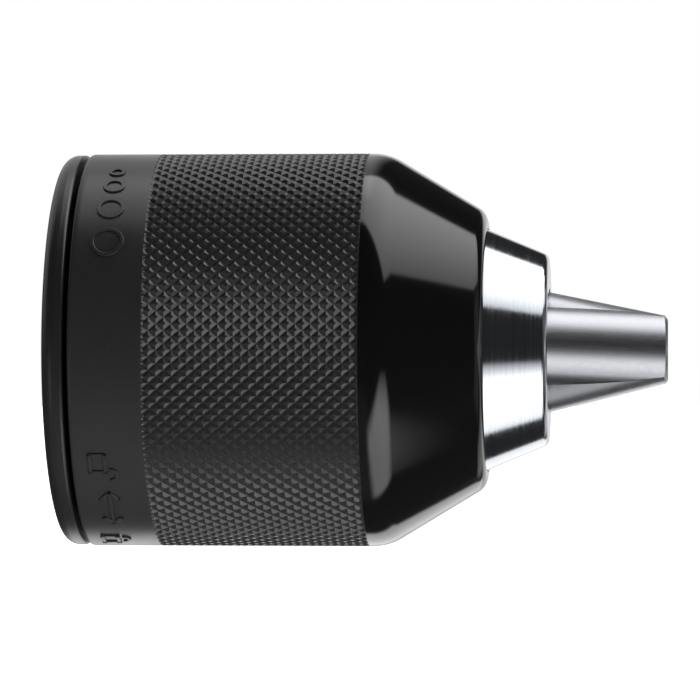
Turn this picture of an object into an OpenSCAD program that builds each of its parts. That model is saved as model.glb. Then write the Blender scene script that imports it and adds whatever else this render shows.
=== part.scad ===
// Keyless single-sleeve drill chuck, 13 mm capacity, with a self-locking ratchet.
// Millimetres. The chuck axis lies along X and the jaws point to +X. The origin is
// the centre of the spindle thread's mouth, in the rear face.

/* [Sleeve] */
// Outer diameter of the sleeve
sleeve_d = 43; // [42.8:0.1:43.6]
// Rear edge of the sleeve, from the rear face
sleeve_rear = 2.86; // [2.7:0.02:3.2]
// Front face of the sleeve, from the rear face
sleeve_front = 46.3; // [46.1:0.1:46.5]
// Wall thickness of the sleeve
sleeve_wall = 1.5; // [1.4:0.05:1.6]
// Slope of the sleeve's front cone, in degrees from the axis
shoulder_angle = 31.3; // [30.8:0.1:31.8]

/* [Body] */
// Length of the body from rear face to nose face
body_l = 53; // [52.9:0.1:53.4]
// Diameter of the body's rear drum
drum_d = 35.2; // [35:0.1:35.4]
// Diameter of the body's front journal
journal_d = 30; // [29.6:0.1:30]
// Slope of the nose cone, in degrees from the axis
nose_angle = 22.8; // [22.4:0.1:23.2]
// Major diameter of the 1/2"-20 spindle thread
thread_d = 12.7; // [12.7:0.01:12.72]
// Depth of the spindle thread
thread_depth = 16; // [14:0.5:17]
// Diameter of the hole for the spindle's retaining screw
screw_hole_d = 7; // [6.5:0.5:8]
// Diameter of the tool cavity
cavity_d = 13.5; // [13.3:0.1:14]

/* [Jaws] */
// Diameter of each jaw
jaw_d = 8.4; // [8.2:0.1:8.4]
// Angle between a jaw's axis and the chuck axis
jaw_angle = 15; // [15]
// Pitch of the jaw thread, along the jaw
jaw_pitch = 1.5; // [1.5]
// How far the closed jaws reach from the rear face
jaw_tip = 65.9; // [65.5:0.1:66.2]
// Smallest drill diameter the closed jaws hold
grip_d = 1.5; // [1.2:0.1:1.6]

/* [Bearing and lock] */
// Diameter of a bearing ball
ball_d = 2; // [1.9:0.05:2]
// Number of bearing balls
ball_count = 30; // [24:1:32]
// Number of teeth on the ratchet ring
tooth_count = 36; // [36]

/* [Rear cover] */
// Outer diameter of the rear cover
cover_d = 42.8; // [42.4:0.1:42.9]
// Thickness of the rear cover
cover_t = 2.36; // [2.3:0.02:2.5]

/* [Hidden] */
$fn = 96;

// Radii of the sleeve and its front cone
sleeve_r = sleeve_d / 2;
bore_r = sleeve_r - sleeve_wall;
shoulder_z = 35.5;
shoulder_fillet = 6;
front_fillet = 2;
shoulder_slope = tan(shoulder_angle);
cone_wall = sleeve_wall / cos(shoulder_angle);

// Radii and stations of the body
drum_r = drum_d / 2;
drum_edge = 0.4;
journal_r = journal_d / 2;
hub_r = 15;
seat_r = 16.5;
groove_r = 12;
seat_z = 18.4;
race_z = 21.2;
groove_z = 24.5;
groove_end = 31.4;
nose_r = 13.05;
nose_z = 46.55;
nose_fillet = 0.9;
nose_slope = tan(nose_angle);
cavity_z = 20;
snap_z = 39.8;
snap_t = 0.9;
snap_depth = 0.7;
snap_stand = 1.2;

// Jaws: three cylinders whose axes meet the chuck axis at the apex
jaw_r = jaw_d / 2;
apex_z = 62.95;
jaw_turns = [20, 140, 260];
jaw_rear_z = 25.5;
jaw_rear_chamfer = 0.8;
tip_chamfer = 0.25;
jaw_gap = 0.035;
jaw_clearance = 0.08;
jaw_bore_z = 3.7;

// Thread between nut and jaws, along s on a jaw's axis and h square to it
ridge_start = -39.4;
ridge_turns = 3.2;
ridge_steps = 48;
ridge_crest_h = jaw_r - 0.55;
ridge_root_h = jaw_r + 0.4;
nut_bore_h = jaw_r + 0.15;
ridge_crest_w = 0.2;
ridge_root_w = 0.42;
groove_floor_h = jaw_r - 0.7;
groove_floor_w = 0.36;
groove_mouth_w = 0.6;
groove_last = -12.3;

// Nut, collar and bearing
nut_z = 25;
nut_end = 31;
nut_r = 16.8;
nut_split = 0.05;
ball_r = ball_d / 2;
ball_gap = 0.02;
ball_pitch_r = 17;
cage_t = 1;
cage_inner_r = 15.7;
race_play = 0.1;
front_race_z = race_z + ball_d + 2 * ball_gap;
collar_r = 18.2;
cup_r = 19.4;
cup_z = 21.4;
web_end = 26.6;
collar_end = 31.2;
rib_r = 19.3;
rib_width = 44;
lug_width = 43.2;
lock_turn = 32;
lug_play = 0.4;
insert_r = 19.6;
insert_z = 18.2;
insert_lug_r = 18.35;

// Ratchet and pawls
tooth_tip_r = 17.6;
tooth_root_r = 17.1;
tooth_phase = 8.4;
pawl_turns = [60, 240];
pivot_r = 18.75;
pawl_z = 18.8;
pawl_t = 1.6;
pawl_boss_r = 0.8;
pawl_hole_r = 0.5;
pin_r = 0.45;
pin_grip = 3;
cam_r = 19.2;
cam_from = 12;
cam_to = 18;
coil_r = 0.64;
coil_wire_r = 0.1;
coil_pitch = 0.25;
coil_turns = 3;

// Points on a circular arc, from one angle to another
function arc(c, r, from, to, n = 8) =
    [for (i = [0:n]) c + r * [cos(from + (to - from) * i / n), sin(from + (to - from) * i / n)]];

// A point at a radius and an angle
function polar(r, a) = [r * cos(a), r * sin(a)];

// Outer radius of the sleeve's cone, and radius of the nose cone, at a station
function cone_r(z) = sleeve_r - (z - shoulder_z) * shoulder_slope;
function nose_r_at(z) = nose_r - (z - nose_z) * nose_slope;

// Radius and station of the point at s along a jaw's axis and h outward from it
function jaw_point(s, h) =
    [-s * sin(jaw_angle) + h * cos(jaw_angle), apex_z + s * cos(jaw_angle) + h * sin(jaw_angle)];

// Radius, at a station, of the cone that lies h outward from the jaws' axes
function jaw_cone_r(z, h) =
    (apex_z + h * sin(jaw_angle) - z) * tan(jaw_angle) + h * cos(jaw_angle);

// Turns local Z to +X
module on_axis() { rotate([0, 90, 0]) children(); }

// Puts children on a jaw's axis, with s = 0 at the apex
module on_jaw(turn) {
    rotate([0, 0, turn]) translate([0, 0, apex_z]) rotate([0, -jaw_angle, 0]) children();
}

// Flat ring from one station to another
module ring(inner, outer, from, to) {
    rotate_extrude() translate([inner, from]) square([outer - inner, to - from]);
}

// Part of a ring between two angles
module ring_sector(inner, outer, from, to, start, end) {
    rotate([0, 0, start]) rotate_extrude(angle = end - start)
        translate([inner, from]) square([outer - inner, to - from]);
}

// Solid tube through a list of closed rings that all have the same number of points
module swept(rings) {
    n = len(rings[0]);
    last = len(rings) - 1;
    sides = [for (i = [0:last - 1], j = [0:n - 1])
        [i * n + j, (i + 1) * n + j, (i + 1) * n + (j + 1) % n, i * n + (j + 1) % n]];
    caps = [[for (j = [0:n - 1]) j], [for (j = [n - 1:-1:0]) last * n + j]];
    polyhedron(points = [for (r = rings) each r], faces = concat(sides, caps));
}

module chuck_body() {
    nose_edge_r = nose_r_at(body_l) - nose_fillet * tan((90 - nose_angle) / 2);
    cone_start = nose_z - (journal_r - nose_r) / nose_slope;
    color("gainsboro") on_axis() difference() {
        rotate_extrude() polygon(concat([
            [0, 0], [hub_r, 0], [hub_r, cover_t], [drum_r - drum_edge, cover_t],
            [drum_r, cover_t + drum_edge], [drum_r, seat_z], [seat_r, seat_z], [seat_r, race_z],
            [journal_r, race_z], [journal_r, groove_z], [groove_r, groove_z],
            [groove_r, groove_end], [journal_r, groove_end], [journal_r, snap_z],
            [journal_r - snap_depth, snap_z], [journal_r - snap_depth, snap_z + snap_t],
            [journal_r, snap_z + snap_t], [journal_r, cone_start]],
            arc([nose_edge_r, body_l - nose_fillet], nose_fillet, nose_angle, 90),
            [[0, body_l]]));
        translate([0, 0, -1]) cylinder(r = thread_d / 2, h = thread_depth + 1);
        translate([0, 0, thread_depth - 1]) cylinder(d = screw_hole_d, h = cavity_z - thread_depth + 2);
        translate([0, 0, cavity_z]) cylinder(d = cavity_d, h = body_l);
        for (turn = jaw_turns) on_jaw(turn) {
            bore_s = (jaw_bore_z - apex_z) / cos(jaw_angle);
            translate([0, 0, bore_s]) cylinder(r = jaw_r + jaw_clearance, h = -bore_s);
        }
    }
}

module rear_cover() {
    rim = 1.5;
    edge = 0.3;
    r = cover_d / 2;
    color([0.08, 0.08, 0.08]) on_axis() rotate_extrude() polygon(concat(
        [[hub_r, 0]], arc([r - rim, rim], rim, -90, 0),
        arc([r - edge, cover_t - edge], edge, 0, 90, 4), [[hub_r, cover_t]]));
}

// Hardened race with ratchet teeth round its rim, steep on the side that loosening meets
module ratchet_ring() {
    step = 360 / tooth_count;
    color("dimgray") on_axis() difference() {
        translate([0, 0, seat_z]) linear_extrude(race_z - seat_z) polygon(
            [for (i = [0:tooth_count - 1]) each [
                polar(tooth_tip_r, tooth_phase + i * step),
                polar(tooth_root_r, tooth_phase + (i + 0.98) * step)]]);
        translate([0, 0, seat_z - 1]) cylinder(r = seat_r, h = race_z - seat_z + 2);
    }
}

module snap_ring() {
    gap = 30;
    play = 0.05;
    color("darkgray") on_axis() ring_sector(journal_r - snap_depth, journal_r + snap_stand,
        snap_z + play, snap_z + snap_t - play, gap / 2, 360 - gap / 2);
}

module ball_cage() {
    ball_z = race_z + ball_gap + ball_r;
    color("goldenrod") on_axis() difference() {
        ring(cage_inner_r, collar_r - race_play, ball_z - cage_t / 2, ball_z + cage_t / 2);
        for (i = [0:ball_count - 1]) rotate([0, 0, i * 360 / ball_count])
            translate([ball_pitch_r, 0, ball_z - cage_t]) cylinder(r = ball_r + 2 * ball_gap, h = 2 * cage_t);
    }
}

module bearing_balls() {
    color("silver") on_axis() for (i = [0:ball_count - 1]) rotate([0, 0, i * 360 / ball_count])
        translate([ball_pitch_r, 0, race_z + ball_gap + ball_r]) sphere(r = ball_r);
}

module front_race() {
    color("darkgray") on_axis() ring(journal_r + 2 * race_play, collar_r - race_play, front_race_z, nut_z);
}

// Helical ridge inside the nut: its section keeps its place on the jaws' cone
module nut_ridge() {
    section = [[-ridge_root_w, ridge_root_h], [-ridge_crest_w, ridge_crest_h],
        [ridge_crest_w, ridge_crest_h], [ridge_root_w, ridge_root_h]];
    swept([for (i = [0:ridge_turns * ridge_steps]) let (turn = i / ridge_steps)
        [for (p = section) let (q = jaw_point(ridge_start + turn * jaw_pitch + p[0], p[1]))
            [q[0] * cos(turn * 360), q[0] * sin(turn * 360), q[1]]]]);
}

// Half of the split nut, on one side of the plane through the axis
module nut_half(turn) {
    on_axis() intersection() {
        union() {
            rotate_extrude() polygon([
                [jaw_cone_r(nut_z, nut_bore_h), nut_z], [nut_r, nut_z], [nut_r, nut_end],
                [jaw_cone_r(nut_end, nut_bore_h), nut_end]]);
            nut_ridge();
        }
        rotate([0, 0, turn]) translate([nut_split / 2, -nut_r - 1, nut_z])
            cube([nut_r + 1, 2 * nut_r + 2, nut_end - nut_z]);
    }
}

module nut_half_a() { color("slategray") nut_half(0); }

module nut_half_b() { color("lightslategray") nut_half(180); }

// Collar pressed round the nut halves; its cup carries the pawls and its ribs take the drive
module nut_collar() {
    color("darkslategray") on_axis() {
        difference() {
            rotate_extrude() polygon([
                [nut_r, nut_z], [collar_r, nut_z], [collar_r, cup_z], [cup_r, cup_z],
                [cup_r, web_end], [collar_r, web_end], [collar_r, collar_end],
                [nut_r, collar_end]]);
            for (turn = pawl_turns) rotate([0, 0, turn])
                translate([pivot_r, 0, cup_z - 1]) cylinder(r = pin_r, h = 1 + pin_grip);
        }
        for (i = [0:2]) rotate([0, 0, i * 120]) ring_sector(collar_r - 0.2, rib_r,
            web_end - 0.5, collar_end, -rib_width / 2, rib_width / 2);
    }
}

module pawl_pins() {
    head_t = 0.3;
    head_z = pawl_z - 0.15 - head_t;
    color("silver") on_axis() for (turn = pawl_turns) rotate([0, 0, turn])
        translate([pivot_r, 0, head_z]) {
            cylinder(r = pin_r, h = cup_z + pin_grip - head_z);
            cylinder(r = pawl_boss_r - 0.05, h = head_t);
        }
}

// Torsion coil on each pawl pin, between the pawl and the collar
module pawl_springs() {
    steps = 16;
    coil_z = pawl_z + pawl_t + coil_wire_r + 0.03;
    color("silver") on_axis() for (turn = pawl_turns) rotate([0, 0, turn])
        translate([pivot_r, 0, coil_z])
            swept([for (i = [0:coil_turns * steps]) let (a = i * 360 / steps)
                [for (b = [0:60:300]) let (r = coil_r + coil_wire_r * cos(b))
                    [r * cos(a), r * sin(a), i * coil_pitch / steps + coil_wire_r * sin(b)]]]);
}

// Pawl: a boss round the pin and an arm whose nose drops between two ratchet teeth
module pawl(turn) {
    outline = [[19.4, 1], [19.5, 6], [19.5, 12], [19.45, 17.5], [19, 18.3],
        [17.8, 18], [18.15, 16], [18.25, 8], [18.15, 1]];
    on_axis() rotate([0, 0, turn]) translate([0, 0, pawl_z]) difference() {
        linear_extrude(pawl_t) {
            polygon([for (p = outline) polar(p[0], p[1])]);
            translate([pivot_r, 0]) circle(r = pawl_boss_r);
        }
        translate([pivot_r, 0, -1]) cylinder(r = pawl_hole_r, h = pawl_t + 2);
    }
}

module pawl_1() { color("peru") pawl(pawl_turns[0]); }

module pawl_2() { color("peru") pawl(pawl_turns[1]); }

module outer_sleeve() {
    edge = 0.4;
    lip_z = 45.1;
    lip_gap = 0.2;
    tangent = shoulder_fillet * tan(shoulder_angle / 2);
    front_tangent = front_fillet * tan((90 - shoulder_angle) / 2);
    front_c = [cone_r(sleeve_front) - front_tangent, sleeve_front - front_fillet];
    color([0.12, 0.12, 0.13]) on_axis() rotate_extrude() polygon(concat(
        [[bore_r, sleeve_rear]],
        arc([sleeve_r - edge, sleeve_rear + edge], edge, -90, 0, 4),
        arc([sleeve_r - shoulder_fillet, shoulder_z - tangent], shoulder_fillet, 0, shoulder_angle, 12),
        arc(front_c, front_fillet, shoulder_angle, 90),
        [[nose_r_at(sleeve_front) + lip_gap, sleeve_front], [cone_r(lip_z) - cone_wall, lip_z],
        [bore_r, shoulder_z + (sleeve_r - cone_wall - bore_r) / shoulder_slope]]));
}

// Steel liner pressed into the sleeve: lugs drive the collar, bumps press the pawls in
module sleeve_insert() {
    gap_end = 120 - rib_width / 2;
    color("gray") on_axis() {
        ring(insert_r, bore_r, insert_z, collar_end);
        for (i = [0:2]) rotate([0, 0, i * 120]) ring_sector(insert_lug_r, insert_r + 0.2,
            web_end + 0.3, collar_end, gap_end - lug_play - lug_width, gap_end - lug_play);
        for (turn = pawl_turns) rotate([0, 0, turn]) ring_sector(cam_r, insert_r + 0.2,
            pawl_z, pawl_z + pawl_t, cam_from + lock_turn, cam_to + lock_turn);
    }
}

// Plastic bush that centres the sleeve on the body's journal
module front_bush() {
    bush_z = 32;
    bush_end = snap_z - 0.1;
    play = 0.08;
    color("ivory") on_axis() rotate_extrude() polygon([
        [journal_r + play, bush_z], [bore_r, bush_z],
        [bore_r, shoulder_z + (sleeve_r - cone_wall - bore_r) / shoulder_slope],
        [cone_r(bush_end) - cone_wall, bush_end], [journal_r + play, bush_end]]);
}

// One jaw, closed: a cylinder trimmed to a third of the round, with its thread grooves
module jaw(turn) {
    rear_s = (jaw_rear_z - apex_z) / cos(jaw_angle);
    phase = ridge_start + jaw_pitch * turn / 360;
    first = ceil((rear_s + 0.3 - phase) / jaw_pitch);
    count = floor((groove_last - phase) / jaw_pitch);
    mid_s = -37;
    far = 12;
    front_s = 8;
    section = [[-groove_floor_w, groove_floor_h], [groove_floor_w, groove_floor_h],
        [groove_mouth_w, jaw_r + 0.2], [-groove_mouth_w, jaw_r + 0.2]];
    tip_r = jaw_cone_r(jaw_tip, jaw_r);
    on_axis() difference() {
        intersection() {
            on_jaw(turn) translate([0, 0, rear_s]) {
                cylinder(r1 = jaw_r - jaw_rear_chamfer, r2 = jaw_r, h = jaw_rear_chamfer);
                translate([0, 0, jaw_rear_chamfer])
                    cylinder(r = jaw_r, h = front_s - rear_s - jaw_rear_chamfer);
            }
            rotate([0, 0, turn]) translate([0, 0, jaw_rear_z - 3])
                linear_extrude(jaw_tip - jaw_rear_z + 3) polygon([
                    [grip_d / 2, -(grip_d / 2 - jaw_gap) * tan(60)],
                    [far, -(far - jaw_gap) * tan(60)], [far * 2, 0],
                    [far, (far - jaw_gap) * tan(60)],
                    [grip_d / 2, (grip_d / 2 - jaw_gap) * tan(60)]]);
            rotate_extrude() polygon([[0, jaw_rear_z - 3], [far * 2, jaw_rear_z - 3],
                [far * 2, jaw_tip - tip_chamfer - far], [tip_r + tip_chamfer * 0.3, jaw_tip - tip_chamfer],
                [tip_r - tip_chamfer, jaw_tip], [0, jaw_tip]]);
        }
        for (k = [first:count]) let (s = phase + k * jaw_pitch)
            rotate([0, 0, turn]) translate((s - mid_s) * [-sin(jaw_angle), 0, cos(jaw_angle)])
                rotate([0, 0, -30]) rotate_extrude(angle = 60)
                    polygon([for (p = section) jaw_point(mid_s + p[0], p[1])]);
    }
}

module jaw_1() { color("lightgray") jaw(jaw_turns[0]); }

module jaw_2() { color("lightgray") jaw(jaw_turns[1]); }

module jaw_3() { color("lightgray") jaw(jaw_turns[2]); }

chuck_body();
rear_cover();
ratchet_ring();
snap_ring();
ball_cage();
bearing_balls();
front_race();
nut_half_a();
nut_half_b();
nut_collar();
pawl_pins();
pawl_springs();
pawl_1();
pawl_2();
outer_sleeve();
sleeve_insert();
front_bush();
jaw_1();
jaw_2();
jaw_3();
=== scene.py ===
# %% [markdown]
# # A keyless drill chuck
# The chuck's steel body, jaws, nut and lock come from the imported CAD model. What Blender adds is
# the look: a knurled black sleeve, the raised marks on its band, the thread in the spindle bore,
# and a finish for every piece. Lengths are in metres, and the chuck's axis is the X axis.

# %% Load the frame
import math

import bpy
import numpy as np
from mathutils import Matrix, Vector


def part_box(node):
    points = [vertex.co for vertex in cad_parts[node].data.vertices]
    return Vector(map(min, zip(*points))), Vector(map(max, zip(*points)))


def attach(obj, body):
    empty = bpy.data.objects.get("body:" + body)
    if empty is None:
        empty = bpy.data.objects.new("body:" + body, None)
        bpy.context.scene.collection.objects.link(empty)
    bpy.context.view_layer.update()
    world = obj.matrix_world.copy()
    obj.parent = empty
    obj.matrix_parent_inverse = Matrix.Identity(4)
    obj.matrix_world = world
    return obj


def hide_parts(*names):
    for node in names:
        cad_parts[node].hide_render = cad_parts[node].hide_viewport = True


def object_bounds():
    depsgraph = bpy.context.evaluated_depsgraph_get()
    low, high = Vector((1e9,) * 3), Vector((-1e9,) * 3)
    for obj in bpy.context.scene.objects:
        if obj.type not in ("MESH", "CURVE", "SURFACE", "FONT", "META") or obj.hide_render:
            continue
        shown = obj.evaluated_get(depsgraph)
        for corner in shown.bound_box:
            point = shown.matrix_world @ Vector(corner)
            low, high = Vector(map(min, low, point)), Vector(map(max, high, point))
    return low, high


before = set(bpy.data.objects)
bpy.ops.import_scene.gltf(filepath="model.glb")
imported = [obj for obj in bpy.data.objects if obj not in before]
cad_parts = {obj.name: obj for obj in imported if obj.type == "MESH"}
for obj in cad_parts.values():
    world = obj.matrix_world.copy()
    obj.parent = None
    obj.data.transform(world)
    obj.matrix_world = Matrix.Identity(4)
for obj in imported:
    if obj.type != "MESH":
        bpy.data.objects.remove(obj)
cad_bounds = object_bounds()
MM = 0.001
TAU = 2 * math.pi
print("nodes:", len(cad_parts))

# %% [markdown]
# ## Helpers for materials
# A colour is easiest to name as a hex code, as a paint chart does, but Blender mixes light in
# linear values. One function turns the first into the second. A second function adds a shader
# node with its settings and its links, so that each material reads as a short recipe.

# %% Colour and node helpers
def linear(hex_code):
    """Linear RGBA of an sRGB hex code: each channel goes through the sRGB curve."""
    srgb = np.array([int(hex_code[i:i + 2], 16) for i in (1, 3, 5)]) / 255
    rgb = np.where(srgb <= 0.04045, srgb / 12.92, ((srgb + 0.055) / 1.055) ** 2.4)
    return (*rgb.tolist(), 1.0)


def add(tree, kind, inputs=None, **settings):
    """Adds one node. Settings are the node's own options; inputs are values or sockets to link."""
    made = tree.nodes.new(kind)
    for name, value in settings.items():
        setattr(made, name, value)
    for socket, value in (inputs or {}).items():
        if isinstance(value, bpy.types.NodeSocket):
            tree.links.new(value, made.inputs[socket])
        else:
            made.inputs[socket].default_value = value
    return made


print("black enamel in linear light:", [round(v, 4) for v in linear("#161617")[:3]])

# %% [markdown]
# A real finish is never one flat colour. A fine pattern, such as grain or grit, shifts the shade
# a little, makes some spots duller than others, and tilts the skin. The next three functions
# start a material, let one pattern steer its shade and its height, and let one steer its
# roughness. A noise seldom leaves the middle of its range, so that middle is what the roughness
# is stretched over.

# %% Finish helpers
NOISE_MIDDLE = (0.3, 0.7)
COLOUR_A, COLOUR_B, COLOUR_OUT = 6, 7, 2  # a colour Mix node's sockets, which share their names


def finish_of(name):
    """Starts a material: its node tree, its surface shader and the object's own coordinates."""
    material = bpy.data.materials.new(name)
    material.use_nodes = True
    tree = material.node_tree
    place = add(tree, "ShaderNodeTexCoord").outputs["Object"]
    return material, tree, tree.nodes["Principled BSDF"], place


def shade_and_raise(tree, shader, pattern, hex_codes, depth_mm):
    """The pattern mixes two close shades, and lifts the skin by its value times the depth."""
    dark, pale = (linear(code) for code in hex_codes)
    shade = add(tree, "ShaderNodeMix", {0: pattern, COLOUR_A: dark, COLOUR_B: pale},
                data_type="RGBA")
    bump = add(tree, "ShaderNodeBump",
               {"Height": pattern, "Distance": depth_mm * MM, "Strength": 1.0})
    tree.links.new(shade.outputs[COLOUR_OUT], shader.inputs["Base Color"])
    tree.links.new(bump.outputs[0], shader.inputs["Normal"])


def vary_roughness(tree, shader, pattern, roughness, swing, span=NOISE_MIDDLE):
    """The roughness goes from (1 - swing) to (1 + swing) times its middle value over the span."""
    rough = add(tree, "ShaderNodeMapRange",
                {"Value": pattern, "From Min": span[0], "From Max": span[1],
                 "To Min": roughness * (1 - swing), "To Max": roughness * (1 + swing)})
    tree.links.new(rough.outputs[0], shader.inputs["Roughness"])


print("roughness is stretched over noise from", NOISE_MIDDLE[0], "to", NOISE_MIDDLE[1])

# %% [markdown]
# ## Camera
# The camera looks level at the side of the chuck from about half a metre, a little towards the
# jaws. A long lens keeps the sleeve's edges nearly parallel, as a catalogue picture of a small
# tool does. The distance and the lens are chosen together: they set how much the near side of
# the knurl seems to bulge.

# %% Make the camera
VIEW_SIDE = math.radians(4.39)
CAMERA_DISTANCE = 0.46
LENS_MM = 215.8
SENSOR_MM = 36
AIM_ALONG = 0.4725  # share of the chuck's length, from the rear
target = np.array([AIM_ALONG * cad_bounds[1][0], 0, 0])
view_from = np.array([math.sin(VIEW_SIDE), -math.cos(VIEW_SIDE), 0])
camera_data = bpy.data.cameras.new("camera")
camera_data.lens = LENS_MM
camera_data.sensor_width = SENSOR_MM
camera_data.clip_start = 10 * MM
camera = bpy.data.objects.new("camera", camera_data)
bpy.context.scene.collection.objects.link(camera)
camera.location = target + CAMERA_DISTANCE * view_from
camera.rotation_euler = (math.pi / 2, 0, VIEW_SIDE)
bpy.context.scene.camera = camera
bpy.context.scene.view_settings.view_transform = "Standard"
print("camera at", [round(v, 3) for v in camera.location])

# %% [markdown]
# ## Studio light
# Gloss black and chrome show the room more than their own colour, so the light is built as a
# room: a softbox overhead, a low light bank in front on the right, dim cards all round, and a
# pale backdrop and floor behind, in an otherwise dark studio. Area lamps could do it, but panels
# painted on the world by direction keep crisp edges without noise.
#
# A panel is a polygon, and each of its edges is a row (a, b, c, softness): a smooth step takes
# the light from none to all as a*x + b*y + c*z goes from minus to plus the softness. For a panel
# overhead or underfoot, x and y are where its direction meets a plane one unit above or below
# the chuck, and z is 1. For one at the side, (x, y, z) is the direction itself.

# %% Directions seen from the chuck
LEAST_RISE = 0.02  # keeps the division below from reaching nought at the horizon
world = bpy.data.worlds.new("studio")
world.use_nodes = True
bpy.context.scene.world = world
room = world.node_tree
room.nodes.clear()
direction = add(room, "ShaderNodeTexCoord").outputs["Generated"]
parts = add(room, "ShaderNodeSeparateXYZ", {0: direction}).outputs
rise = add(room, "ShaderNodeMath", {0: parts["Z"]}, operation="ABSOLUTE").outputs[0]
safe_rise = add(room, "ShaderNodeMath", {0: rise, 1: LEAST_RISE}, operation="MAXIMUM").outputs[0]
plane_x, plane_y = (
    add(room, "ShaderNodeMath", {0: parts[axis], 1: safe_rise}, operation="DIVIDE").outputs[0]
    for axis in "XY")
on_plane = add(room, "ShaderNodeCombineXYZ", {0: plane_x, 1: plane_y, 2: 1.0}).outputs[0]
above = add(room, "ShaderNodeMath", {0: parts["Z"], 1: 0.0}, operation="GREATER_THAN").outputs[0]
below = add(room, "ShaderNodeMath", {0: 1.0, 1: above}, operation="SUBTRACT").outputs[0]
print("world nodes for directions:", len(room.nodes))

# %% One light panel
def panel(vector, strength, lamp, edges, falloff=0.0, half=None):
    """Light of one panel: strength / (1 + falloff * distance to the lamp squared), times the
    step of each edge, times 1 in its half of the room and 0 in the other."""
    away = add(room, "ShaderNodeVectorMath", {0: vector, 1: lamp},
               operation="DISTANCE").outputs["Value"]
    square = add(room, "ShaderNodeMath", {0: away, 1: away}, operation="MULTIPLY").outputs[0]
    fall = add(room, "ShaderNodeMath", {0: square, 1: falloff, 2: 1.0},
               operation="MULTIPLY_ADD").outputs[0]
    light = add(room, "ShaderNodeMath", {0: strength, 1: fall}, operation="DIVIDE").outputs[0]
    shares = []
    for a, b, c, softness in edges:
        inside = add(room, "ShaderNodeVectorMath", {0: vector, 1: (a, b, c)},
                     operation="DOT_PRODUCT").outputs["Value"]
        shares.append(add(room, "ShaderNodeMapRange",
                          {"Value": inside, "From Min": -softness, "From Max": softness},
                          interpolation_type="SMOOTHSTEP").outputs[0])
    if half is not None:
        shares.append(half)
    for share in shares:
        light = add(room, "ShaderNodeMath", {0: light, 1: share}, operation="MULTIPLY").outputs[0]
    return light


softbox = panel(on_plane, 3.2, (0.5, 0.2, 1), falloff=0.9, half=above, edges=[
    (0.53, 0.85, 0.19, 0.03), (-0.85, 0.53, 1.43, 0.06), (0, -1, 0.64, 0.04), (1, 0, 0.12, 0.1)])
low_bank = panel(on_plane, 3.0, (0.9, -1.0, 1), falloff=0.4, half=below, edges=[
    (1, 0, -0.15, 0.1), (0.74, 0.67, 0.45, 0.2), (0, 1, 3.6, 0.8), (-0.75, -0.66, 0.6, 0.17),
    (0, -1, 0.12, 0.05), (-0.67, 0.74, 8, 1)])
print("softbox and low bank made")

# %% [markdown]
# The cards are dim grey boards. They give the dark sides of the sleeve and the jaws something to
# mirror, so that a curve reads as a curve and no side of the chuck goes black. The backdrop and
# the floor behind it are brighter, and line the chuck's edges with light.

# %% Cards, backdrop and the whole room
DARK_STUDIO = 0.03
front_card = panel(on_plane, 0.12, (0, -1, 1), falloff=0.1, half=below, edges=[
    (1, 0, 1.6, 0.3), (-1, 0, 0.3, 0.2), (0, 1, 2.0, 1.4), (0, -1, 0.12, 0.15)])
backdrop = panel(direction, 0.8, (0, 1, 0), edges=[
    (0.96, 0.29, 0, 0.1), (0, 0.29, 0.96, 0.05), (0, 0.28, -0.96, 0.06)])
back_floor = panel(direction, 1.6, (0, 1, 0), edges=[
    (0.96, 0.29, 0, 0.1), (-0.93, 0.37, 0, 0.03), (0, 0.69, 0.72, 0.05), (0, -0.29, -0.96, 0.05)])
back_left = panel(direction, 0.6, (0, 1, 0), half=above, edges=[
    (0, 1, -0.2, 0.1), (0, -0.25, 0.97, 0.05), (-1, 0, 0.05, 0.1)])
left_card = panel(direction, 0.1, (-1, 0, 0), falloff=0.2, edges=[
    (-1, 0, -0.3, 0.3), (0, 0, 1, 0.45), (0, 0, -1, 0.5)])
rear_card = panel(direction, 0.5, (-0.7, -0.7, 0), edges=[
    (-0.86, 0.51, 0, 0.1), (0.49, -0.87, 0, 0.1), (-0.33, -0.33, 0.88, 0.08),
    (0.06, 0.06, -1, 0.08)])
front_floor = panel(direction, 0.7, (0.7, 0.7, 0), edges=[
    (0.87, -0.5, 0, 0.1), (-0.5, 0.87, 0, 0.1), (-0.1, -0.1, -0.99, 0.1),
    (0.45, 0.45, 0.85, 0.08)])
far_right = panel(direction, 0.25, (1, 0, 0), edges=[
    (0.3, -1, 0, 0.08), (0.3, 1, 0, 0.08), (0.5, 0, -1, 0.2), (0.5, 0, 1, 0.2)])
panels = [softbox, low_bank, front_card, backdrop, back_floor, back_left, left_card, rear_card,
          front_floor, far_right]
light = DARK_STUDIO
for lit in panels:
    light = add(room, "ShaderNodeMath", {0: light, 1: lit}, operation="ADD").outputs[0]
seen = add(room, "ShaderNodeLightPath").outputs["Is Camera Ray"]
glow, white_wall = (add(room, "ShaderNodeBackground", {"Color": (1, 1, 1, 1), "Strength": s})
                    for s in (light, 1.0))
mixed = add(room, "ShaderNodeMixShader",
            {0: seen, 1: glow.outputs[0], 2: white_wall.outputs[0]})
add(room, "ShaderNodeOutputWorld", {"Surface": mixed.outputs[0]})
print("light panels:", len(panels))

# %% [markdown]
# ## Floor
# The floor is a sheet of white acrylic lit from below, as small tools are often shown on, so it
# stays an even pale white. It is left out of the chuck's reflections: the panels of the studio
# take its place there, as they would if the chuck stood above the table on a thin pin.

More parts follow.
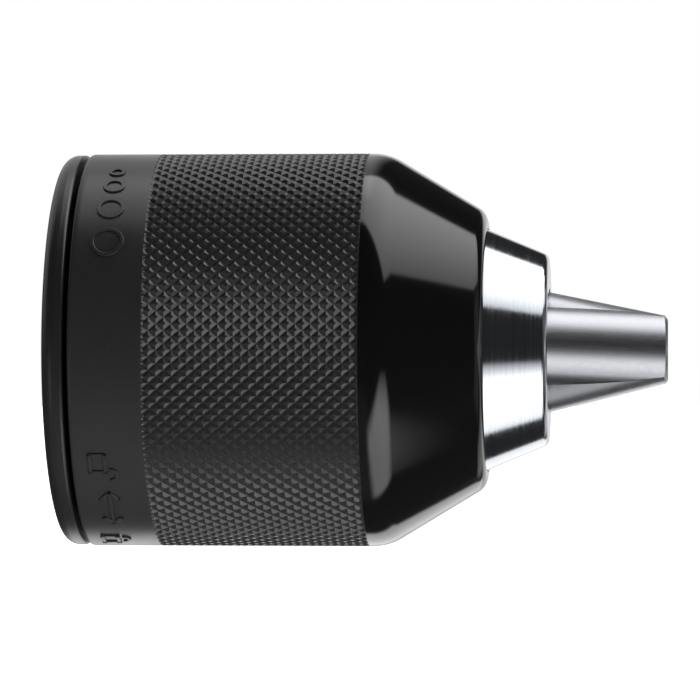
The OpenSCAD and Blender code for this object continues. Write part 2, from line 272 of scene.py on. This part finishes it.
# %% Make the floor
FLOOR_DROP = 0.06
FLOOR_HALF = 4.0
HAZE_SIZE = 0.125  # width of the acrylic's faint clouds
floor_mesh = bpy.data.meshes.new("floor")
corners = [(x * FLOOR_HALF, y * FLOOR_HALF, -FLOOR_DROP)
           for x, y in ((-1, -1), (1, -1), (1, 1), (-1, 1))]
floor_mesh.from_pydata(corners, [], [(0, 1, 2, 3)])
floor = bpy.data.objects.new("floor", floor_mesh)
bpy.context.scene.collection.objects.link(floor)
acrylic, tree, shader, place = finish_of("backlit_white_acrylic")
haze = add(tree, "ShaderNodeTexNoise", {"Vector": place, "Scale": 1 / HAZE_SIZE, "Detail": 2.0})
tint = add(tree, "ShaderNodeMix", {0: haze.outputs[0], COLOUR_A: linear("#f4f4f4"),
                                   COLOUR_B: linear("#ffffff")}, data_type="RGBA")
tree.links.new(tint.outputs[COLOUR_OUT], shader.inputs["Base Color"])
shader.inputs["Roughness"].default_value = 0.6
shader.inputs["Emission Color"].default_value = (1, 1, 1, 1)
shader.inputs["Emission Strength"].default_value = 1.0
floor_mesh.materials.append(acrylic)
floor.visible_glossy = False
floor.visible_shadow = False
print("floor", FLOOR_DROP / MM, "mm under the axis")

# %% [markdown]
# ## Turned surfaces
# Nearly everything on a chuck is turned on a lathe, so a piece is its outline carried round the
# X axis. The outline is a closed loop of points, so that the surface closes on itself in both
# directions and has a real wall thickness. Round edges are arcs.

# %% Outline and grid helpers
SHARP_ANGLE = math.radians(22)  # a crease at least this steep is drawn as an edge


def arc(centre, radius, start, end, count):
    """Points on a circle: centre plus radius times (cos, sin) of angles in degrees."""
    angle = np.radians(np.linspace(start, end, count))
    return np.array(centre) + radius * np.stack([np.cos(angle), np.sin(angle)], axis=1)


def turned(x, r, angle):
    """Points x along the axis and r from it, turned round it: (x, r cos angle, r sin angle)."""
    return np.stack(np.broadcast_arrays(x, r * np.cos(angle), r * np.sin(angle)), axis=-1)


def grid_quads(rows, columns, close_rows=True, close_columns=True):
    """Corner numbers of the quads of a grid whose points are numbered row by row. A quad's corners
    run along its row first, so it faces outwards where a row goes round X by a growing angle and
    the next row lies further along X."""
    i = np.arange(rows if close_rows else rows - 1)[:, None]
    j = np.arange(columns if close_columns else columns - 1)[None, :]
    down, right = (i + 1) % rows, (j + 1) % columns
    quads = [i * columns + j, i * columns + right, down * columns + right, down * columns + j]
    return np.stack(np.broadcast_arrays(*quads), axis=-1).reshape(-1, 4)


def piece(name, points, faces, material, body):
    """Makes a smooth-shaded mesh object in the frame and says which body and finish it has."""
    mesh = bpy.data.meshes.new(name)
    corner_lists = [face for group in faces for face in group.tolist()]
    mesh.from_pydata(points.reshape(-1, 3).tolist(), [], corner_lists)
    mesh.materials.append(material)
    mesh.shade_smooth()
    mesh.set_sharp_from_angle(angle=SHARP_ANGLE)
    made = bpy.data.objects.new(name, mesh)
    bpy.context.scene.collection.objects.link(made)
    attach(made, body)
    return made


print("a ring of 4 by 3 points has", len(grid_quads(4, 3)), "quads")

# %% [markdown]
# ## Black sleeve finish
# The sleeve is steel with a satin black lacquer, and its front cone is polished before it is
# lacquered. Black lacquer takes nearly all its look from how sharply it mirrors the room: the
# satin band spreads each light into a soft glow, and the gloss cone shows a softbox as a patch.
# Both are dielectric coats, so metallic is 0 and the IOR is a lacquer's 1.5. The grain is orange
# peel, the faint dimples that a sprayed coat dries with, and handling wears dull spots a few
# millimetres wide.

# %% Satin and gloss black lacquer
WEAR_SPOT_MM = 5.56


def black_lacquer(name, hex_codes, roughness, grain_mm, depth_mm):
    """Black lacquer: grain of the given size and depth, and wider spots of wear."""
    material, tree, shader, place = finish_of(name)
    grain, wear = (
        add(tree, "ShaderNodeTexNoise", {"Vector": place, "Scale": 1 / (size * MM),
                                         "Detail": detail}).outputs[0]
        for size, detail in ((grain_mm, 3.0), (WEAR_SPOT_MM, 4.0)))
    shade_and_raise(tree, shader, grain, hex_codes, depth_mm)
    vary_roughness(tree, shader, wear, roughness, swing=0.12)
    shader.inputs["IOR"].default_value = 1.5
    return material


satin_lacquer = black_lacquer("satin_black_lacquer", ("#1d1d1e", "#242425"), 0.3,
                              grain_mm=0.35, depth_mm=0.005)
gloss_lacquer = black_lacquer("gloss_black_lacquer", ("#070708", "#09090a"), 0.09,
                              grain_mm=1.2, depth_mm=0.001)
print("made", satin_lacquer.name, "and", gloss_lacquer.name)

# %% [markdown]
# ## Knurled sleeve
# A diamond knurl is rolled or cut as two families of V grooves that cross. A bump map would lose
# the sparkle on the groove walls, so the grooves are real. Unrolled, the sleeve is a plane with
# a distance along the axis and one round it, both counted in diamonds. A groove runs wherever
# their sum or difference is a whole number, and the depth grows as that number comes near. The
# grid has six steps to a diamond, so the grooves fall exactly on its diagonals, and each quad
# there is cut along the groove.

# %% Sizes of the sleeve
sleeve_low, sleeve_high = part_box("outer_sleeve")
sleeve_rear, sleeve_front, sleeve_r = sleeve_low[0], sleeve_high[0], sleeve_high[2]
SLEEVE_WALL = 1.5 * MM
REAR_EDGE = 0.4 * MM  # radius that breaks the rear edge
BAND_LENGTH = 7.81 * MM  # smooth band behind the knurl
KNURL_LENGTH = 22.82 * MM
KNURL_END = 0.03 * MM  # the knurl stops in a wall this thick
DIAMONDS_ALONG = 14
DIAMONDS_AROUND = 96
STEPS = 6  # grid steps to a diamond
GROOVE_DEPTH = 0.23 * MM
WALL_SHARE = 1 / 3  # a groove's wall takes this share of the way to the next groove
SHOULDER_X = 35.5 * MM  # where the front cone would meet the cylinder without its fillet
SHOULDER_ANGLE = 31.3
SHOULDER_FILLET = 6 * MM
FRONT_FILLET = 2 * MM
LIP_R = 13.3 * MM  # radius of the opening that the nose comes through
LIP_X = 45.1 * MM  # rear of the lip round that opening
knurl_start = sleeve_rear + BAND_LENGTH
knurl_end = knurl_start + KNURL_LENGTH
print("one diamond is", round(KNURL_LENGTH / DIAMONDS_ALONG / MM, 2), "mm long and",
      round(TAU * sleeve_r / DIAMONDS_AROUND / MM, 2), "mm round")

# %% [markdown]
# The outline goes forward along the outside, from the rear edge over the band, the knurl, the
# shoulder and the cone to the front edge, and comes back along the bore.

# %% Outline of the sleeve
cone_slope = math.tan(math.radians(SHOULDER_ANGLE))
cone_wall = SLEEVE_WALL / math.cos(math.radians(SHOULDER_ANGLE))
bore_r = sleeve_r - SLEEVE_WALL


def cone_r(x):
    """Radius of the front cone: the sleeve's, less the slope times the way past the shoulder."""
    return sleeve_r - (x - SHOULDER_X) * cone_slope


shoulder_tangent = SHOULDER_FILLET * math.tan(math.radians(SHOULDER_ANGLE / 2))
front_tangent = FRONT_FILLET * math.tan(math.radians((90 - SHOULDER_ANGLE) / 2))
rear_centre = (sleeve_rear + REAR_EDGE, sleeve_r - REAR_EDGE)
shoulder_centre = (SHOULDER_X - shoulder_tangent, sleeve_r - SHOULDER_FILLET)
front_centre = (sleeve_front - FRONT_FILLET, cone_r(sleeve_front) - front_tangent)
rear_arc = arc(rear_centre, REAR_EDGE, 180, 90, 6)
shoulder_arc = arc(shoulder_centre, SHOULDER_FILLET, 90, 90 - SHOULDER_ANGLE, 15)
front_arc = arc(front_centre, FRONT_FILLET, 90 - SHOULDER_ANGLE, 0, 10)
band_x = np.linspace(sleeve_rear + 2 * REAR_EDGE, knurl_start, 4)[:-1]
knurl_x = np.linspace(knurl_start, knurl_end, DIAMONDS_ALONG * STEPS + 1)
straight_x = np.concatenate([band_x, [knurl_start - KNURL_END], knurl_x, [knurl_end + KNURL_END]])
straight = np.stack([straight_x, np.full(len(straight_x), sleeve_r)], axis=1)
bore_end = SHOULDER_X + (sleeve_r - cone_wall - bore_r) / cone_slope
inside = np.array([[sleeve_front, LIP_R], [LIP_X, cone_r(LIP_X) - cone_wall],
                   [bore_end, bore_r], [sleeve_rear, bore_r]])
outline = np.concatenate([rear_arc, straight, shoulder_arc, front_arc, inside])
first_knurl_row = len(rear_arc) + len(band_x) + 1
last_knurl_row = first_knurl_row + len(knurl_x) - 1
print("outline of", len(outline), "points")

# %% Press the grooves in
angles = np.arange(DIAMONDS_AROUND * STEPS) * TAU / (DIAMONDS_AROUND * STEPS)
along = (outline[:, :1] - knurl_start) / KNURL_LENGTH * DIAMONDS_ALONG
around = angles[None, :] / TAU * DIAMONDS_AROUND


def groove_gaps(along, around):
    """Distance to the nearest groove of each family, in diamonds: from along + around and from
    along - around to the nearest whole number."""
    return [np.abs(v - np.round(v)) for v in (along + around, along - around)]


def groove_depth(along, around):
    """Deepest on a groove's line, less in step with the gap to it, and nothing past its wall."""
    return GROOVE_DEPTH * np.clip(1 - np.minimum(*groove_gaps(along, around)) / WALL_SHARE, 0, 1)


rows = np.arange(len(outline))
pressed = (rows > first_knurl_row) & (rows < last_knurl_row)
depth = np.where(pressed[:, None], groove_depth(along, around), 0)
points = turned(outline[:, :1], outline[:, 1:] - depth, angles[None, :])
print("deepest groove", round(depth.max() / MM, 2), "mm")

# %% [markdown]
# Blender would split each bent quad of the knurl along whichever diagonal it likes, and a groove
# would come out as a row of teeth. So every quad between two knurl rows is given as two
# triangles, cut along the diagonal that lies nearer to a groove. The rest of the sleeve keeps
# its quads. What lies in front of the knurl takes the gloss lacquer.

# %% Cut the knurl's quads and make the sleeve
quads = grid_quads(len(outline), len(angles)).reshape(len(outline), len(angles), 4)
in_knurl = (rows >= first_knurl_row) & (rows < last_knurl_row)
half_step = 0.5 / STEPS  # from a quad's corner to its middle
sum_gap, difference_gap = groove_gaps(along[in_knurl] + half_step, around + half_step)
falling, rising = (quads[in_knurl][nearer]
                   for nearer in (sum_gap < difference_gap, sum_gap >= difference_gap))
triangles = [falling[:, [0, 1, 3]], falling[:, [1, 2, 3]],
             rising[:, [0, 1, 2]], rising[:, [0, 2, 3]]]
plain_quads = quads[~in_knurl].reshape(-1, 4)
sleeve = piece("knurled_sleeve", points, [plain_quads] + triangles, satin_lacquer,
               "sleeve")
sleeve.data.materials.append(gloss_lacquer)
first_corners = np.concatenate([group[:, 0] for group in [plain_quads] + triangles])
face_x = points[..., 0].reshape(-1)[first_corners]
sleeve.data.polygons.foreach_set("material_index", (face_x > knurl_end).astype(np.int32))
sleeve.data.update()
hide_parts("outer_sleeve")
print("sleeve triangles:", 2 * len(plain_quads) + sum(len(t) for t in triangles))

# %% [markdown]
# ## Raised marks on the band
# The band tells the user two things: how large a drill the jaws take, and which way to turn. Here
# they are signs without words: a row of rings that grow, and an open and a closed padlock with an
# arrow between them. Each mark is made of flat strips bent round the band and raised by about a
# fifth of a millimetre. A strip is a surface in two parameters: how far along its middle line,
# and how far across from one edge to the other.

# %% Bend a mark round the band
MARK_RISE = 0.18 * MM
MARK_SINK = 0.05 * MM  # how far a mark reaches into the sleeve, so that no gap shows
MARK_EDGE = 0.06 * MM  # bevel on a mark's edges


def raised(name, strips, middle_x, middle_angle):
    """Bends flat strips round the band. A strip is two matching edges of (u, v) points in metres:
    u runs along the axis and v round the sleeve, so the angle is v over the radius."""
    points, faces, count = [], [], 0
    r = sleeve_r + np.array([-MARK_SINK, MARK_RISE, MARK_RISE, -MARK_SINK])[:, None]
    for first, second, closed in strips:
        flat = np.stack([first, first, second, second])
        n = flat.shape[1]
        bent = turned(middle_x + flat[..., 0], r, middle_angle + flat[..., 1] / sleeve_r)
        points.append(bent.reshape(-1, 3))
        faces.append(grid_quads(4, n, True, closed) + count)
        if not closed:
            ends = np.array([[3, 2, 1, 0], [0, 1, 2, 3]]) * n + np.array([[0], [n - 1]])
            faces.append(ends + count)
        count += 4 * n
    made = piece(name, np.concatenate(points), faces, satin_lacquer, "sleeve")
    edge = made.modifiers.new("soft_edge", "BEVEL")
    edge.width = MARK_EDGE
    edge.segments = 2
    return made


print("marks stand", MARK_RISE / MM, "mm proud")

# %% Straight and curved strips, in millimetres
STROKE = 0.4
BAR_POINTS = 5
HOOP_POINTS = 24


def bar(start, end):
    """Straight strip: two edges half a stroke each side of the line from start to end."""
    start, end = np.array(start) * MM, np.array(end) * MM
    way = (end - start) / np.linalg.norm(end - start)
    side = np.array([-way[1], way[0]]) * STROKE * MM / 2
    line = start + np.linspace(0, 1, BAR_POINTS)[:, None] * (end - start)
    return line + side, line - side, False


def hoop(centre, radius, width=STROKE, start=0, end=360):
    """Curved strip: two arcs round one centre, a width apart; a full turn closes on itself."""
    closed = end - start == 360
    last = end - 360 / HOOP_POINTS if closed else end
    middle = np.array(centre) * MM
    inner, outer = (arc(middle, (radius + s * width / 2) * MM, start, last, HOOP_POINTS)
                    for s in (-1, 1))
    return inner, outer, closed


print("a bar of 2 mm has edges of", len(bar((0, 0), (2, 0))[0]), "points")

# %% [markdown]
# The rings grow like the drills they stand for. A padlock is a square case with half a hoop for
# its shackle: pushed to one side, the shackle shows the lock open. The arrow has a head at both
# ends, because the sleeve turns both ways.

# %% Draw the signs
RINGS = ((-6.6, 0.7), (-3.6, 1.0), (0.2, 1.3), (4.8, 1.6))  # place round the band, radius
CASE_TOP, CASE_BOTTOM, CASE_HALF = -0.3, -1.9, 1.1
CASE_LAPS = (0.05, 0.1)  # how far the case's lines run past each other at its corners
SHACKLE_MIDDLE, SHACKLE_R, SHACKLE_STROKE = 0.2, 0.72, 0.36
SHACKLE_OPEN = 1.5
ARROW_LINE, ARROW_SHAFT, ARROW_TIP = -0.2, 2.6, 2.7
BARB_WIDTH, BARB_START = 0.95, 1.6


def padlock(shackle_shift):
    """Padlock seen from the front: four lines for its case, and a half hoop for its shackle."""
    reach = CASE_HALF + CASE_LAPS[0]
    low, high = CASE_BOTTOM - CASE_LAPS[1], CASE_TOP + CASE_LAPS[1]
    level_lines = [bar((u, -reach), (u, reach)) for u in (CASE_TOP, CASE_BOTTOM)]
    upright_lines = [bar((low, v), (high, v)) for v in (-CASE_HALF, CASE_HALF)]
    shackle = hoop((SHACKLE_MIDDLE, shackle_shift), SHACKLE_R, SHACKLE_STROKE, -90, 90)
    return level_lines + upright_lines + [shackle]


size_rings = [hoop((0, place), radius) for place, radius in RINGS]
arrow = [bar((ARROW_LINE, -ARROW_SHAFT), (ARROW_LINE, ARROW_SHAFT))]
arrow += [bar((ARROW_LINE, end * ARROW_TIP), (ARROW_LINE + side * BARB_WIDTH, end * BARB_START))
          for end in (-1, 1) for side in (1, -1)]
band_middle = (sleeve_rear + knurl_start) / 2
signs = [("capacity_rings", size_rings, -45), ("lock_open_sign", padlock(SHACKLE_OPEN), 34),
         ("turn_arrow", arrow, 52), ("lock_closed_sign", padlock(0), 72)]
marks = [raised(name, strips, band_middle, math.pi + math.radians(past_front))
         for name, strips, past_front in signs]
print("marks:", [mark.name for mark in marks])

# %% [markdown]
# ## Bright steel of the body
# The body is turned from steel and chrome plated, then left with the lathe's fine rings round its
# nose. Chrome is a metal, so its metallic is 1 and the IOR is left as it is. The rings break up
# the edges of each reflection, and run round the axis: the noise is stretched along Y and Z and
# squeezed along X, with rings about 0.14 mm apart.

# %% Chrome with lathe rings
RING_REACH_MM = 16.67  # how far round a ring goes before it fades into the next


def turned_steel(name, hex_codes, roughness, ring_mm, depth_mm):
    """Turned metal: rings round the X axis that shade the colour a little and tilt the surface."""
    material, tree, shader, place = finish_of(name)
    scale = [1 / (size * MM) for size in (ring_mm, RING_REACH_MM, RING_REACH_MM)]
    stretch = add(tree, "ShaderNodeMapping", {"Vector": place, "Scale": scale})
    rings = add(tree, "ShaderNodeTexNoise",
                {"Vector": stretch.outputs[0], "Scale": 1.0, "Detail": 3.0}).outputs[0]
    shade_and_raise(tree, shader, rings, hex_codes, depth_mm)
    vary_roughness(tree, shader, rings, roughness, swing=0.3)
    shader.inputs["Metallic"].default_value = 1.0
    return material


chrome = turned_steel("turned_chrome_plated_steel", ("#a4a7ac", "#c3c7cd"), 0.12,
                      ring_mm=0.14, depth_mm=0.006)
print("made", chrome.name)

# %% [markdown]
# ## Thread in the spindle bore
# A drill's spindle screws into the back of the body, with 20 threads to the inch. The thread is a
# V ridge that winds along the bore: its section is carried round a helix, so it is a grid of
# turns by corners. Both ends sink into the bore's wall, as a tap's run-out does.

# %% Wind the thread
THREAD_R = 6.35 * MM
THREAD_PITCH = 1.27 * MM
THREAD_HEIGHT = 0.72 * MM
THREAD_LENGTH = 14.8 * MM
THREAD_START = 0.6  # where the first turn begins, in turns from the rear face
RUN_OUT = 0.5  # turns over which each end sinks
LEAST_HEIGHT = 0.02  # share of the height left at the very end
STEPS_PER_TURN = 48
ROOT_HALF, CREST_HALF = 0.46, 0.07  # half the ridge's width at its foot and top, in pitches
ROOT_SINK = 0.02  # how far the foot reaches into the wall, in thread heights
turns = THREAD_LENGTH / THREAD_PITCH - 1
t = np.linspace(0, turns, int(turns * STEPS_PER_TURN) + 1)[:, None]
height = THREAD_HEIGHT * np.clip(np.minimum(t, turns - t) / RUN_OUT, LEAST_HEIGHT, 1)
section = np.array([(-ROOT_HALF, ROOT_SINK), (-CREST_HALF, -1), (CREST_HALF, -1),
                    (ROOT_HALF, ROOT_SINK)])
thread_points = turned((THREAD_START + t + section[:, 0]) * THREAD_PITCH,
                       THREAD_R + section[:, 1] * height, TAU * t)
last = 4 * (len(t) - 1)
thread_faces = [grid_quads(len(t), 4, False, True), np.array([[3, 2, 1, 0]]),
                np.array([[0, 1, 2, 3]]) + last]
piece("spindle_thread", thread_points, thread_faces, chrome, "root")
print("thread turns:", round(turns, 1))

# %% [markdown]
# ## Ground steel of the jaws
# The jaws are hardened steel, ground along their length: satin rather than mirror, a little darker
# and warmer than the chrome, with a fine speckle where the grinding grit skipped.

# %% Ground jaw steel
GRIT_DRAW = 4  # how much longer a speckle is along the piece than across it
GRIT_DEPTH_MM = 0.0012


def ground_steel(name, hex_codes, roughness, grit_mm):
    """Ground metal: fine speckle of the grit's size, drawn out a little along the piece."""
    material, tree, shader, place = finish_of(name)
    scale = [1 / (size * MM) for size in (GRIT_DRAW * grit_mm, grit_mm, grit_mm)]
    stretch = add(tree, "ShaderNodeMapping", {"Vector": place, "Scale": scale})
    grit = add(tree, "ShaderNodeTexNoise",
               {"Vector": stretch.outputs[0], "Scale": 1.0, "Detail": 4.0}).outputs[0]
    shade_and_raise(tree, shader, grit, hex_codes, GRIT_DEPTH_MM)
    vary_roughness(tree, shader, grit, roughness, swing=0.2)
    shader.inputs["Metallic"].default_value = 1.0
    return material


jaw_steel = ground_steel("ground_hardened_steel", ("#97989c", "#a8a9ae"), 0.35, grit_mm=0.12)
race_steel = ground_steel("hardened_race_steel", ("#77787b", "#8e9093"), 0.28, grit_mm=0.25)
ball_steel = ground_steel("polished_ball_steel", ("#c4c6c9", "#d2d4d6"), 0.07, grit_mm=0.3)
print("made", jaw_steel.name, race_steel.name, "and", ball_steel.name)

# %% [markdown]
# ## Metals inside the sleeve
# The nut is turned and chemically blackened, the springs, pins and snap ring are blued as
# hardened wire is, the liner is pressed sheet steel, and the ball cage is pressed brass. All were
# shaped by something that went round the axis, so they share the recipe of the lathe's rings.

# %% Nut, spring, liner and cage metals
nut_steel = turned_steel("blackened_nut_steel", ("#3c3d40", "#4a4b4f"), 0.35,
                         ring_mm=0.3, depth_mm=0.005)
spring_steel = turned_steel("blued_spring_steel", ("#4b5058", "#636a74"), 0.25,
                            ring_mm=0.2, depth_mm=0.002)
liner_steel = turned_steel("pressed_liner_steel", ("#8c8e90", "#a2a4a6"), 0.3,
                           ring_mm=0.4, depth_mm=0.004)
cage_brass = turned_steel("pressed_cage_brass", ("#b08a42", "#c79f55"), 0.27,
                          ring_mm=0.25, depth_mm=0.003)
print("made", nut_steel.name, spring_steel.name, liner_steel.name, "and", cage_brass.name)

# %% [markdown]
# ## Moulded plastics
# The rear cover is black glass-filled nylon with a satin moulded skin. The bush inside is natural
# acetal, an ivory plastic that slides well on steel. Both have a faint moulded grain.

# %% Moulded plastic
GRAIN_MM = 0.3
GRAIN_DEPTH_MM = 0.006


def moulded(name, hex_codes, roughness, ior):
    """Moulded plastic: a soft grain of the mould's texture in two close shades."""
    material, tree, shader, place = finish_of(name)
    grain = add(tree, "ShaderNodeTexNoise",
                {"Vector": place, "Scale": 1 / (GRAIN_MM * MM), "Detail": 3.0}).outputs[0]
    shade_and_raise(tree, shader, grain, hex_codes, GRAIN_DEPTH_MM)
    vary_roughness(tree, shader, grain, roughness, swing=0.15, span=(0, 1))
    shader.inputs["IOR"].default_value = ior
    return material


cover_nylon = moulded("moulded_black_nylon", ("#141415", "#1c1c1d"), 0.3, ior=1.53)
bush_acetal = moulded("moulded_ivory_acetal", ("#d8d0bd", "#e2dbc9"), 0.35, ior=1.48)
print("made", cover_nylon.name, "and", bush_acetal.name)

# %% [markdown]
# ## Finish of each CAD piece
# The CAD nodes keep their shape and get their finish here, by the name of the piece.

# %% Hand out the finishes
finishes = {
    chrome: ["chuck_body"],
    cover_nylon: ["rear_cover"],
    race_steel: ["ratchet_ring", "front_race", "pawl_1", "pawl_2"],
    spring_steel: ["snap_ring", "pawl_pins", "pawl_springs"],
    cage_brass: ["ball_cage"],
    ball_steel: ["bearing_balls"],
    nut_steel: ["nut_half_a", "nut_half_b", "nut_collar"],
    liner_steel: ["sleeve_insert"],
    bush_acetal: ["front_bush"],
    jaw_steel: ["jaw_1", "jaw_2", "jaw_3"],
}
for material, nodes in finishes.items():
    for node in nodes:
        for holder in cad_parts[node].material_slots:
            holder.material = material
print("nodes with a finish:", sum(len(nodes) for nodes in finishes.values()))
